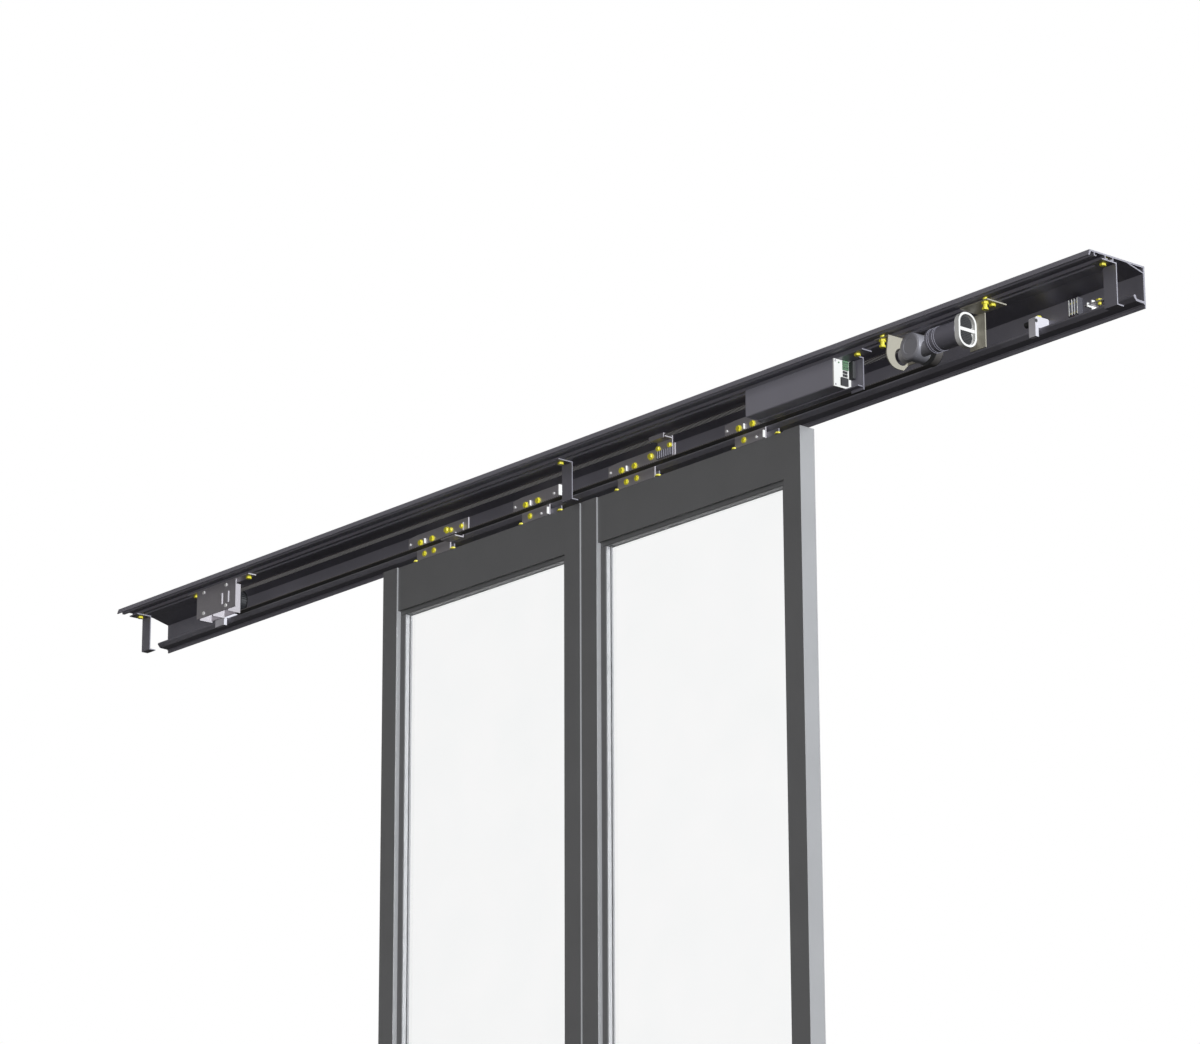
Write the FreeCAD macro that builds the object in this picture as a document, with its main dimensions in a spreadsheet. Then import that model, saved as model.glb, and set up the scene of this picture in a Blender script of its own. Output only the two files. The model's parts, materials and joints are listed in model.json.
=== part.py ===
import FreeCAD, Part
import math
import os
import Sketcher

# Driving dimensions in millimetres. "out" is measured from the wall, "z" from the header's underside.
SIZES = {
    "header_length": 3815, "header_height": 100, "header_depth": 182,
    "deck_thick": 4, "wall_thick": 5, "toe_thick": 3, "fascia_lean": 5, "fascia_drop": 14,
    "web_thick": 3, "web_drop": 12, "hook_gap": 18, "box_width": 35, "slot_width": 25,
    "lip_reach": 5, "lip_thick": 2.5, "slot_gap": 9, "brace_reach": 60, "brace_drop": 18, "brace_thick": 3,
    "bead_radius": 4, "bead_out": 35, "bead_z": 21.5, "arm_z": 10, "arm_thick": 6,
    "wall_hole": 7, "wall_hole_z": 38, "wall_hole_pitch": 500,
    "leaf_width": 820, "leaf_height": 2179, "leaf_thick": 48, "leaf_out": 10, "leaf_top_z": -13,
    "meeting_gap": 6, "doorway_shift": 4, "floor_gap": 8, "stile_width": 60, "top_rail": 120,
    "bottom_rail": 110, "frame_wall": 3, "rail_inset": 5, "glass_thick": 8, "glass_bite": 12,
    "glass_out": 26, "side_bead": 21, "level_bead": 12, "bead_front": 44, "bead_chamfer": 2,
    "seal_thick": 2.2, "seal_width": 14,
    "groove_width": 14, "groove_depth": 22,
    "guide_length": 24, "guide_inset": 3, "guide_base": 70, "guide_screw_pitch": 50,
    "plate_thick": 4, "plate_out": 40, "plate_low_z": 30, "plate_top_z": 64, "plate_length": 205,
    "plate_corner": 35, "tongue_start": 36, "tongue_low_z": -8, "long_tongue": 142, "short_tongue": 111,
    "axle_first": 52, "axle_pitch": 50, "roller_radius": 13.5, "roller_width": 9,
    "groove_rise": 1.9, "groove_mouth": 4, "groove_floor": 1.6, "axle_radius": 4, "running_fit": 0.05, "clearance": 0.3,
    "first_carriage": 92, "second_carriage": 285,
    "clamp_reach": 205, "foot_thick": 4, "foot_back": 14, "foot_length": 154, "hanger_bolt_out": 26,
    "hanger_bolt_at": 137,
    "m8_flats": 13, "m8_head": 5.3, "m8_radius": 4, "bolt_slack": 0.45, "pan_radius": 8, "pan_height": 6,
    "belt_back": 53.5, "belt_width": 20, "belt_thick": 3.2, "pulley_z": 49, "pitch_radius": 32,
    "idler_from_end": 425, "drive_from_end": 623, "tooth_count": 25, "tooth_depth": 2.4, "pulley_flange": 1.2,
    "shaft_radius": 6, "hub_radius": 12,
    "idler_back": 97, "idler_length": 185, "idler_out": 134, "idler_plate": 3, "idler_low_z": 6,
    "rib_reach": 42, "slot_flange": 26,
    "drive_back": 55, "drive_length": 260, "drive_plate_out": 85, "drive_plate": 3,
    "drive_tab_out": 100, "drive_tab_deep": 48, "drive_tab_reach": 68, "drive_foot_length": 50,
    "cheek_low_z": 9, "cheek_hole": 21, "cheek_chamfer": 16, "long_bolt_out": 139, "long_bolt_drop": 19, "long_bolt_radius": 5,
    "gearbox_front": 127, "gearbox_radius": 33, "worm_radius": 18, "worm_out": 107, "worm_z": 41, "worm_back": 45,
    "cap_depth": 6.5, "cap_round": 6, "cap_dish": 19,
    "motor_radius": 29, "motor_z": 45, "motor_out": 118.5, "motor_ahead": 65.5, "motor_length": 98,
    "bell_length": 14, "bell_deep": 58, "bell_high": 84, "bell_round": 27, "bell_wall": 5, "bell_bar": 8,
    "control_from_drive": 564, "control_length": 308, "control_low_z": 17, "control_height": 69,
    "control_out": 80, "control_depth": 56, "control_wall": 3, "panel_thick": 4,
    "control_sheet": 3, "control_arm_gap": 3, "control_arm_length": 42, "control_arm_drop": 10,
    "control_tab_length": 88, "control_tab_deep": 32, "control_foot_deep": 18, "control_bolt_from_end": 60,
    "key_size": 6, "key_pitch": 8, "key_rise": 2, "key_travel": 1,
    "cover_bracket_width": 39, "cover_bracket_thick": 3, "cover_bracket_out": 94,
    "terminal_from_end": 218, "earth_from_end": 147,
    "stop_from_left": 300, "stop_from_right": 316, "stop_width": 21, "stop_front": 50, "stop_top": 53,
    "left_buffer": 40, "right_buffer": 20,
}


class Size:
    """A number that remembers the formula it was worked out from."""

    def __init__(self, number, formula):
        self.number = number
        self.formula = formula

    def join(self, other, sign, number):
        return Size(number, f"({self.formula} {sign} {formula_of(other)})")

    def __add__(self, other):
        return self.join(other, "+", self.number + number_of(other))

    def __sub__(self, other):
        return self.join(other, "-", self.number - number_of(other))

    def __mul__(self, other):
        return self.join(other, "*", self.number * number_of(other))

    def __truediv__(self, other):
        return self.join(other, "/", self.number / number_of(other))

    def __neg__(self):
        return Size(-self.number, f"(0 - {self.formula})")

    def __radd__(self, other):
        return Size(number_of(other), formula_of(other)) + self

    def __rsub__(self, other):
        return Size(number_of(other), formula_of(other)) - self

    def __rmul__(self, other):
        return self * other


def number_of(value):
    return value.number if isinstance(value, Size) else value


def formula_of(value):
    return value.formula if isinstance(value, Size) else f"({value})"


class Sheet:
    """The document's spreadsheet; each alias is read as an attribute."""

    def __init__(self, document):
        self.cells = document.addObject("Spreadsheet::Sheet", "Sizes")
        for row, (name, number) in enumerate(SIZES.items(), start=1):
            self.cells.set(f"A{row}", name)
            self.cells.set(f"B{row}", str(number))
            self.cells.setAlias(f"B{row}", name)

    def __getattr__(self, name):
        return Size(SIZES[name], f"Sizes.{name}")


doc = FreeCAD.newDocument("sliding_door")
s = Sheet(doc)
doc.recompute()
nodes = []
header_bolts = []
bottom = -(s.header_height / 2)
hook_web_out = s.header_depth - s.hook_gap
slot_web_out = hook_web_out - s.box_width
rear_web_out = slot_web_out - s.slot_width
left_end = -(s.header_length / 2)
right_end = s.header_length / 2
idler_x = left_end + s.idler_from_end
drive_x = right_end - s.drive_from_end
doorway_left = s.doorway_shift - s.meeting_gap / 2 - s.leaf_width
doorway_right = s.doorway_shift + s.meeting_gap / 2 + s.leaf_width


def bind(item, path, value):
    """Tie one property of an object to its formula."""
    item.setExpression(path, formula_of(value))


def place(item, x=0, out=0, z=0):
    """Put an object at a place given along the header, out from the wall and up from the header's underside."""
    bind(item, "Placement.Base.x", x)
    bind(item, "Placement.Base.y", -out)
    bind(item, "Placement.Base.z", z + bottom)


def keep(item, name):
    """Make an object a part of its own, under the name of its file."""
    item.Label = name
    nodes.append(item)
    return item


def origin_plane(body, role):
    return next(plane for plane in body.Origin.OriginFeatures if plane.Role == role)


def centre_of_arc(start, end, radius, turn):
    """Centre of the arc from start to end; turn is 1 for anticlockwise and -1 for clockwise."""
    half = ((end[0] - start[0]) / 2, (end[1] - start[1]) / 2)
    reach = math.hypot(half[0], half[1])
    offset = math.sqrt(max(radius ** 2 - reach ** 2, 0))
    side = (-half[1] / reach * turn, half[0] / reach * turn)
    return (start[0] + half[0] + side[0] * offset, start[1] + half[1] + side[1] * offset)


def add_loop(sketch, corners):
    """Draw a closed loop of lines and short arcs; a corner is (u, v) or (u, v, radius, turn) of the arc to the next."""
    first = sketch.GeometryCount
    count = len(corners)
    spots = [(number_of(corner[0]), number_of(corner[1])) for corner in corners]
    shapes = []
    turns = []
    for index, corner in enumerate(corners):
        start = spots[index]
        end = spots[(index + 1) % count]
        if len(corner) == 2:
            shapes.append(Part.LineSegment(FreeCAD.Vector(*start, 0), FreeCAD.Vector(*end, 0)))
            turns.append(0)
            continue
        radius = number_of(corner[2])
        centre = centre_of_arc(start, end, radius, corner[3])
        circle = Part.Circle(FreeCAD.Vector(*centre, 0), FreeCAD.Vector(0, 0, 1), radius)
        angles = [math.atan2(spot[1] - centre[1], spot[0] - centre[0]) for spot in (start, end)]
        if corner[3] < 0:
            angles.reverse()
        shapes.append(Part.ArcOfCircle(circle, angles[0], angles[1]))
        turns.append(corner[3])
    sketch.addGeometry(shapes, False)
    joins = []
    formulas = []
    for index, corner in enumerate(corners):
        here = first + index
        after = first + (index + 1) % count
        own_end = 1 if turns[index] < 0 else 2
        next_start = 2 if turns[(index + 1) % count] < 0 else 1
        joins.append(Sketcher.Constraint("Coincident", here, own_end, after, next_start))
        own_start = 2 if turns[index] < 0 else 1
        formulas.append((Sketcher.Constraint("DistanceX", here, own_start, spots[index][0]), corner[0]))
        formulas.append((Sketcher.Constraint("DistanceY", here, own_start, spots[index][1]), corner[1]))
        if turns[index]:
            formulas.append((Sketcher.Constraint("Radius", here, number_of(corner[2])), corner[2]))
    sketch.addConstraint(joins)
    start_at = sketch.ConstraintCount
    sketch.addConstraint([constraint for constraint, value in formulas])
    for index, (constraint, value) in enumerate(formulas):
        if isinstance(value, Size):
            sketch.setExpression(f"Constraints[{start_at + index}]", value.formula)


def add_hole(sketch, u, v, radius):
    """Draw a circle in a sketch at its formula's place."""
    spot = FreeCAD.Vector(number_of(u), number_of(v), 0)
    index = sketch.addGeometry(Part.Circle(spot, FreeCAD.Vector(0, 0, 1), number_of(radius)), False)
    for kind, value in (("DistanceX", u), ("DistanceY", v), ("Radius", radius)):
        place_of = (index, 3) if kind != "Radius" else (index,)
        constraint = sketch.addConstraint(Sketcher.Constraint(kind, *place_of, number_of(value)))
        if isinstance(value, Size):
            sketch.setExpression(f"Constraints[{constraint}]", value.formula)


def padded(name, role, corners, start, length, holes=(), windows=()):
    """A body padded from a sketch: YZ_Plane pads along X, XZ_Plane pads out from the wall, XY_Plane pads up."""
    body = doc.addObject("PartDesign::Body", name)
    sketch = body.newObject("Sketcher::SketchObject", name + "_sketch")
    sketch.AttachmentSupport = [(origin_plane(body, role), "")]
    sketch.MapMode = "FlatFace"
    bind(sketch, "AttachmentOffset.Base.z", start)
    add_loop(sketch, corners)
    for window in windows:
        add_loop(sketch, window)
    for hole in holes:
        add_hole(sketch, *hole)
    pad = body.newObject("PartDesign::Pad", name + "_pad")
    pad.Profile = sketch
    bind(pad, "Length", length)
    return body


def section(name, corners, start, length, windows=()):
    """A body with a constant section drawn as (out, z), its arcs as seen from the right-hand end."""
    loops = [[(-corner[0], *corner[1:]) for corner in loop] for loop in (corners, *windows)]
    return padded(name, "YZ_Plane", loops[0], start, length, (), loops[1:])


def revolved(name, profile):
    """A body turned about an axis that points out from the wall; the profile is (out, radius)."""
    body = doc.addObject("PartDesign::Body", name)
    sketch = body.newObject("Sketcher::SketchObject", name + "_sketch")
    sketch.AttachmentSupport = [(origin_plane(body, "YZ_Plane"), "")]
    sketch.MapMode = "FlatFace"
    add_loop(sketch, profile)
    turning = body.newObject("PartDesign::Revolution", name + "_turning")
    turning.Profile = sketch
    turning.ReferenceAxis = (sketch, ["H_Axis"])
    turning.Angle = 360
    return body


def box(name, x, out, z, along, deep, high):
    """A box from its left end, its face nearest the wall and its underside."""
    item = doc.addObject("Part::Box", name)
    for path, value in (("Length", along), ("Width", deep), ("Height", high)):
        bind(item, path, value)
    place(item, x, out + deep, z)
    return item


TURNS = {
    "out": FreeCAD.Rotation(FreeCAD.Vector(1, 0, 0), 90),
    "up": FreeCAD.Rotation(),
    "along": FreeCAD.Rotation(FreeCAD.Vector(0, 1, 0), 90),
}


def rod(name, way, x, out, z, radius, length):
    """A cylinder that starts at a place and runs out, up or along."""
    item = doc.addObject("Part::Cylinder", name)
    item.Placement = FreeCAD.Placement(FreeCAD.Vector(), TURNS[way])
    bind(item, "Radius", radius)
    bind(item, "Height", length)
    place(item, x, out, z)
    return item


def hexagon(name, way, x, out, z, flats, length):
    """A hexagonal head or nut that starts at a place."""
    item = doc.addObject("Part::Prism", name)
    item.Polygon = 6
    item.Placement = FreeCAD.Placement(FreeCAD.Vector(), TURNS[way])
    bind(item, "Circumradius", flats * 0.57735)
    bind(item, "Height", length)
    place(item, x, out, z)
    return item


def fused(name, items):
    item = doc.addObject("Part::MultiFuse", name)
    item.Shapes = items
    return item


def cut(name, base, tools):
    item = doc.addObject("Part::Cut", name)
    item.Base = base
    item.Tool = tools[0] if len(tools) == 1 else fused(name + "_tools", tools)
    return item


def group(name, items):
    """Several solids of one kind that share a file."""
    item = doc.addObject("Part::Compound", name)
    item.Links = items
    return keep(item, name)


def bolt(name, way, x, out, z, grip, back=0):
    """A hexagon bolt: the head starts at the place, the shank runs the other way for the grip."""
    step = {"out": (0, 1, 0), "up": (0, 0, 1), "along": (1, 0, 0)}[way]
    head = hexagon(name + "_head", way, x, out, z, s.m8_flats, s.m8_head)
    shank = rod(name + "_shank", way, x - grip * step[0], out - grip * step[1], z - grip * step[2],
                s.m8_radius, grip)
    return fused(name, [head, shank])


def header_profile():
    """One extruded header: deck, fascia, cover hook, two bolt channels, rear brace, back wall and roller rail."""
    roof = s.header_height - s.deck_thick
    web_foot = s.header_height - s.web_drop
    lip_top = web_foot + s.lip_thick
    hook_back = hook_web_out - s.web_thick
    slot_front = slot_web_out - s.web_thick
    slot_mid = (slot_front + rear_web_out) / 2
    brace_low = s.header_height - s.brace_drop
    fascia_top = s.header_depth - s.fascia_lean
    outline = [
        (0, 0), (0, s.header_height), (fascia_top, s.header_height),
        (s.header_depth, s.header_height - s.fascia_drop),
        (s.header_depth - s.deck_thick, s.header_height - s.fascia_drop),
        (fascia_top - s.deck_thick, roof), (hook_web_out, roof),
        (hook_web_out, web_foot), (hook_back - s.lip_reach, web_foot), (hook_back - s.lip_reach, lip_top),
        (hook_back, lip_top), (hook_back, roof), (slot_web_out, roof), (slot_web_out, web_foot),
        (slot_mid + s.slot_gap / 2, web_foot), (slot_mid + s.slot_gap / 2, lip_top),
        (slot_front, lip_top), (slot_front, roof), (rear_web_out, roof), (rear_web_out, lip_top),
        (slot_mid - s.slot_gap / 2, lip_top), (slot_mid - s.slot_gap / 2, web_foot),
        (rear_web_out - s.web_thick, web_foot), (rear_web_out - s.web_thick, roof), (s.brace_reach, roof),
        (s.wall_thick, brace_low), (s.wall_thick, s.arm_z + s.arm_thick),
        (s.bead_out - s.bead_radius * 2, s.arm_z + s.arm_thick),
        (s.bead_out - s.bead_radius * 0.8, s.bead_z - s.bead_radius * 0.6, s.bead_radius, 1),
        (s.bead_out, s.bead_z + s.bead_radius, s.bead_radius, 1),
        (s.bead_out + s.bead_radius * 0.8, s.bead_z - s.bead_radius * 0.6),
        (s.bead_out - s.bead_radius, s.arm_z + 1), (s.wall_thick, s.arm_z),
        (s.wall_thick, s.arm_z - 2), (s.toe_thick, s.arm_z - 2), (s.toe_thick, 0),
    ]
    chamber = [
        (s.wall_thick, roof), (s.brace_reach - s.brace_thick * 4, roof), (s.wall_thick, brace_low + s.brace_thick),
    ]
    body = section("header_profile", outline, -(s.header_length / 2), s.header_length, [chamber])
    place(body)
    sketch = body.newObject("Sketcher::SketchObject", "wall_hole_sketch")
    sketch.AttachmentSupport = [(origin_plane(body, "XZ_Plane"), "")]
    sketch.MapMode = "FlatFace"
    add_hole(sketch, -(s.wall_hole_pitch * 3.5), s.wall_hole_z, s.wall_hole / 2)
    pocket = body.newObject("PartDesign::Pocket", "wall_hole")
    pocket.Profile = sketch
    bind(pocket, "Length", s.wall_thick * 2)
    pocket.Midplane = True
    row = body.newObject("PartDesign::LinearPattern", "wall_hole_row")
    row.Originals = [pocket]
    row.Direction = (sketch, ["H_Axis"])
    row.Occurrences = 8
    bind(row, "Length", s.wall_hole_pitch * 7)
    body.Tip = row
    keep(body, "header_profile")


def cover_brackets():
    """Three folded Z brackets that a front cover hangs on, each with its bolt in the rear channel."""
    web_foot = s.header_height - s.web_drop
    thick = s.cover_bracket_thick
    front = s.cover_bracket_out + slot_web_out - rear_web_out + s.cover_bracket_width / 2
    foot_z = s.leaf_top_z + 1
    corners = [
        (s.cover_bracket_out, web_foot - thick), (front, web_foot - thick), (front, web_foot),
        (s.cover_bracket_out - thick, web_foot), (s.cover_bracket_out - thick, foot_z + thick),
        (s.cover_bracket_out - 21, foot_z + thick), (s.cover_bracket_out - 21, foot_z),
        (s.cover_bracket_out, foot_z),
    ]
    half = s.header_length / 2
    starts = [-half, s.doorway_shift - s.cover_bracket_width / 2 - 10, half - s.cover_bracket_width]
    brackets = []
    for index, start in enumerate(starts, start=1):
        bracket = section(f"cover_bracket_{index}", corners, start, s.cover_bracket_width)
        place(bracket)
        hole = channel_bolt(f"cover_bolt_{index}", start + s.cover_bracket_width / 2, thick)
        brackets.append(cut(f"cover_bracket_drilled_{index}", bracket, [hole]))
    group("cover_brackets", brackets)


def channel_bolt(name, x, grip):
    """A bolt under the header with its square nut in the rear channel; returns the tool for its hole."""
    web_foot = s.header_height - s.web_drop
    low = web_foot - grip
    nut_z = web_foot + s.lip_thick
    slot_mid = (slot_web_out - s.web_thick + rear_web_out) / 2
    head = hexagon(name + "_head", "up", x, slot_mid, low - s.m8_head, s.m8_flats, s.m8_head)
    shank = rod(name + "_shank", "up", x, slot_mid, low - 1, s.m8_radius, nut_z - low + 1)
    nut = box(name + "_nut", x - s.m8_flats / 2, slot_mid - s.m8_flats / 2, nut_z,
              s.m8_flats, s.m8_flats, s.deck_thick)
    header_bolts.append(fused(name, [head, shank, nut]))
    return rod(name + "_hole", "up", x, slot_mid, low - 1, s.m8_radius + s.bolt_slack, grip + 2)


def idler_unit():
    """The belt's return pulley in its folded bracket with ribs, rivets and adjusting windows."""
    web_foot = s.header_height - s.web_drop
    left = idler_x - s.idler_back
    right = left + s.idler_length
    low = s.idler_low_z
    front = s.idler_out - s.idler_plate
    plate_top = web_foot - s.idler_plate
    windows = []
    for at in (119, 149):
        windows.append([(left + at, 25), (left + at + 7, 25), (left + at + 7, 58), (left + at, 58)])
    holes = [(left + 35, 75, 2.4), (left + 138, 75, 2.4), (left + 35, 19, 2.4), (left + 138, 19, 2.4)]
    face = padded("idler_face", "XZ_Plane",
                  [(left, low), (right, low), (right, plate_top), (left, plate_top)],
                  front, s.idler_plate, holes, windows)
    place(face)
    flange = box("idler_flange", left - 45, s.idler_out - s.slot_flange, plate_top,
                 s.idler_length + 105, s.slot_flange, s.idler_plate)
    ribs = [box(f"idler_rib_{index}", left + at, front - s.rib_reach, 2, s.idler_plate, s.rib_reach, plate_top - 2)
            for index, at in enumerate((10, 72, 143), start=1)]
    rear = box("idler_rear", left + 10, front - s.rib_reach, low, 133 + s.idler_plate, s.idler_plate,
               plate_top - low)
    sheet_metal = fused("idler_sheet", [face, flange, rear] + ribs)
    keep(cut("idler_bracket", sheet_metal, [
        channel_bolt("idler_bolt_1", left - 30, s.idler_plate),
        channel_bolt("idler_bolt_2", right + 35, s.idler_plate)]), "idler_bracket")
    rivets = [fused(f"idler_rivet_{index}", [
        rod(f"rivet_head_{index}", "out", left + u, s.idler_out, v, 4, 1.6),
        rod(f"rivet_stem_{index}", "out", left + u, front, v, 2.4, s.idler_plate)])
        for index, (u, v, radius) in enumerate(((35, 75, 0), (138, 75, 0), (35, 19, 0), (138, 19, 0)), start=1)]
    group("idler_rivets", rivets)
    clip_thick = 2
    shaft_start = s.belt_back - s.pulley_flange - s.clearance * 2 - clip_thick
    shaft_end = front - s.rib_reach
    collar_start = s.belt_back + s.belt_width + s.pulley_flange + s.clearance * 2
    collar = rod("idler_collar", "out", idler_x, collar_start, s.pulley_z, s.shaft_radius + 4,
                 shaft_end - collar_start)
    shaft = rod("idler_pin", "out", idler_x, shaft_start, s.pulley_z, s.shaft_radius, shaft_end - shaft_start)
    clip = rod("idler_clip", "out", idler_x, shaft_start, s.pulley_z, s.shaft_radius + 2, clip_thick)
    keep(fused("idler_shaft", [collar, shaft, clip]), "idler_shaft")
    pulley("idler_pulley", idler_x)


def pulley(name, x):
    """A toothed pulley: turned blank with two flanges, grooved round its rim by a pattern."""
    root = s.pitch_radius - s.belt_thick / 2
    rim = root + s.clearance * -2
    wide = s.belt_width + s.clearance * 2
    back = -(s.pulley_flange + s.clearance)
    front = back + wide + s.pulley_flange * 2
    bore = s.shaft_radius + s.running_fit
    tip = s.pitch_radius + 2
    profile = [(-back, bore), (-back, tip), (-(back + s.pulley_flange), tip), (-(back + s.pulley_flange), rim),
               (-(front - s.pulley_flange), rim), (-(front - s.pulley_flange), tip), (-front, tip), (-front, bore)]
    body = revolved(name, profile)
    sketch = body.newObject("Sketcher::SketchObject", name + "_tooth_sketch")
    sketch.AttachmentSupport = [(origin_plane(body, "XZ_Plane"), "")]
    sketch.MapMode = "FlatFace"
    bind(sketch, "AttachmentOffset.Base.z", back + s.pulley_flange)
    half = 1.6
    add_loop(sketch, [(-half, rim - s.tooth_depth), (half, rim - s.tooth_depth), (half + 0.6, rim + 1),
                      (-half - 0.6, rim + 1)])
    groove = body.newObject("PartDesign::Pocket", name + "_tooth")
    groove.Profile = sketch
    groove.Reversed = True
    bind(groove, "Length", wide)
    ring = body.newObject("PartDesign::PolarPattern", name + "_teeth")
    ring.Originals = [groove]
    ring.Axis = (sketch, ["N_Axis"])
    ring.Angle = 360
    bind(ring, "Occurrences", s.tooth_count)
    body.Tip = ring
    place(body, x, s.belt_back, s.pulley_z)
    keep(body, name)


def toothed_belt():
    """The belt in one closed loop round both pulleys, running behind the brackets."""
    outer = s.pitch_radius + s.belt_thick / 2
    inner = s.pitch_radius - s.belt_thick / 2

    def loop(radius):
        return [(idler_x, s.pulley_z - radius), (drive_x, s.pulley_z - radius, radius, 1),
                (drive_x + radius, s.pulley_z, radius, 1), (drive_x, s.pulley_z + radius),
                (idler_x, s.pulley_z + radius, radius, 1), (idler_x - radius, s.pulley_z, radius, 1)]
    belt = padded("toothed_belt", "XZ_Plane", loop(outer), s.belt_back, s.belt_width, (), [loop(inner)])
    place(belt)
    keep(belt, "toothed_belt")


def rounded(inset):
    """Corners of the motor's end frame, drawn as (out, z) and set in from its outline."""
    back = s.drive_plate_out + s.drive_plate + inset
    front = s.drive_plate_out + s.drive_plate + s.bell_deep - inset
    low = s.motor_z - s.bell_high / 2 + inset
    top = s.motor_z + s.bell_high / 2 - inset
    turn = s.bell_round - inset
    return [(back + turn, low), (front - turn, low, turn, -1), (front, low + turn), (front, top - turn, turn, -1),
            (front - turn, top), (back + turn, top, turn, -1), (back, top - turn), (back, low + turn, turn, -1)]


def long_bolt(name, x):
    """A long stud from a bracket's tab up to the deck, with its nut and head; returns the tool for its hole."""
    tab_low = s.header_height - s.web_drop - s.drive_plate
    low = tab_low - s.long_bolt_drop
    roof = s.header_height - s.deck_thick
    head = hexagon(name + "_head", "up", x, s.long_bolt_out, low, s.m8_flats, s.m8_head)
    shank = rod(name + "_shank", "up", x, s.long_bolt_out, low + 1, s.long_bolt_radius, roof - low - 1)
    nut = hexagon(name + "_nut", "up", x, s.long_bolt_out, tab_low - s.m8_head, s.m8_flats * 1.1, s.m8_head)
    header_bolts.append(fused(name, [head, shank, nut]))
    return rod(name + "_hole", "up", x, s.long_bolt_out, tab_low - 1, s.long_bolt_radius + s.bolt_slack,
               s.drive_plate + 2)


def drive_unit():
    """Worm gearbox and motor between two folded brackets, with the belt's drive pulley behind them."""
    web_foot = s.header_height - s.web_drop
    plate_top = web_foot - s.drive_plate
    left = drive_x - s.drive_back
    right = left + s.drive_length
    plate_front = s.drive_plate_out + s.drive_plate
    behind = s.gearbox_radius * 0.6
    seat_low = s.pulley_z - s.gearbox_radius * 0.75
    seat = padded("drive_seat", "XZ_Plane",
                  [(left, seat_low), (drive_x + behind, seat_low), (drive_x + behind, plate_top), (left, plate_top)],
                  s.drive_plate_out, s.drive_plate, [(drive_x, s.pulley_z, s.hub_radius + 1)])
    place(seat)
    tab_front = s.drive_tab_out + s.drive_tab_deep
    cheek = padded("drive_cheek", "YZ_Plane",
                   [(-tab_front, plate_top), (-s.drive_plate_out, plate_top),
                    (-s.drive_plate_out, s.cheek_low_z + s.cheek_chamfer),
                    (-(s.drive_plate_out + s.cheek_chamfer), s.cheek_low_z), (-s.motor_out, s.cheek_low_z, s.motor_z - s.cheek_low_z, -1),
                    (-(s.motor_out + s.motor_z - s.cheek_low_z), s.motor_z)], left, s.drive_plate,
                   [(-s.worm_out, s.worm_z, s.cheek_hole)])
    place(cheek)
    left_tab = box("drive_left_tab", left - s.drive_tab_reach * 0.65, s.drive_tab_out, plate_top,
                   s.drive_tab_reach * 0.65 + s.drive_plate, s.drive_tab_deep, s.drive_plate)
    left_sheet = cut("drive_left_bracket", fused("drive_left_sheet", [seat, cheek, left_tab]), [
        channel_bolt("drive_bolt_1", left - 27, s.drive_plate), long_bolt("drive_stud_1", left - 27)])
    foot = box("drive_foot", right - s.drive_foot_length, s.drive_plate_out, 2, s.drive_foot_length,
               s.drive_plate, plate_top - 2)
    right_tab = box("drive_right_tab", right - s.drive_foot_length * 0.4, s.drive_plate_out, plate_top,
                    s.drive_foot_length * 0.4 + s.drive_tab_reach, tab_front - s.drive_plate_out, s.drive_plate)
    right_sheet = cut("drive_right_bracket", fused("drive_right_sheet", [foot, right_tab]), [
        channel_bolt("drive_bolt_2", right + 52, s.drive_plate), long_bolt("drive_stud_2", right + 52)])
    group("drive_bracket", [left_sheet, right_sheet])
    case = rod("gearbox_case", "out", drive_x, plate_front, s.pulley_z, s.gearbox_radius,
               s.gearbox_front - plate_front)
    worm = rod("gearbox_worm", "along", drive_x - s.worm_back, s.worm_out, s.worm_z, s.worm_radius,
               s.worm_back + s.motor_ahead)
    keep(fused("gearbox_housing", [case, worm]), "gearbox_housing")
    deep = s.cap_depth
    rim = s.gearbox_radius
    cap = revolved("gearbox_cap", [
        (0, 0), (0, rim), (-(deep - s.cap_round), rim, s.cap_round, 1), (-deep, rim - s.cap_round),
        (-deep, s.cap_dish), (-(deep - 1), s.cap_dish - 1), (-(deep - 1), 0)])
    place(cap, drive_x, s.gearbox_front, s.pulley_z)
    keep(cap, "gearbox_cap")
    can = rod("motor_can", "along", drive_x + s.motor_ahead, s.motor_out, s.motor_z, s.motor_radius, s.motor_length)
    keep(can, "motor_housing")
    bell_start = drive_x + s.motor_ahead + s.motor_length
    blank = section("bell_blank", rounded(0), bell_start, s.bell_length)
    place(blank)
    pocket = section("bell_pocket", rounded(s.bell_wall), bell_start + 4, s.bell_length)
    place(pocket)
    bar = box("bell_bar", bell_start + 3, plate_front + 1, s.motor_z - s.bell_bar / 2, s.bell_length - 5,
              s.bell_deep - 2, s.bell_bar)
    keep(fused("motor_end_bell", [cut("bell_frame", blank, [pocket]), bar]), "motor_end_bell")
    hub_start = s.belt_back - s.pulley_flange - s.clearance - 1
    keep(rod("drive_shaft", "out", drive_x, hub_start, s.pulley_z, s.shaft_radius,
             plate_front - hub_start), "drive_shaft")
    pulley("drive_pulley", drive_x)


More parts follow.
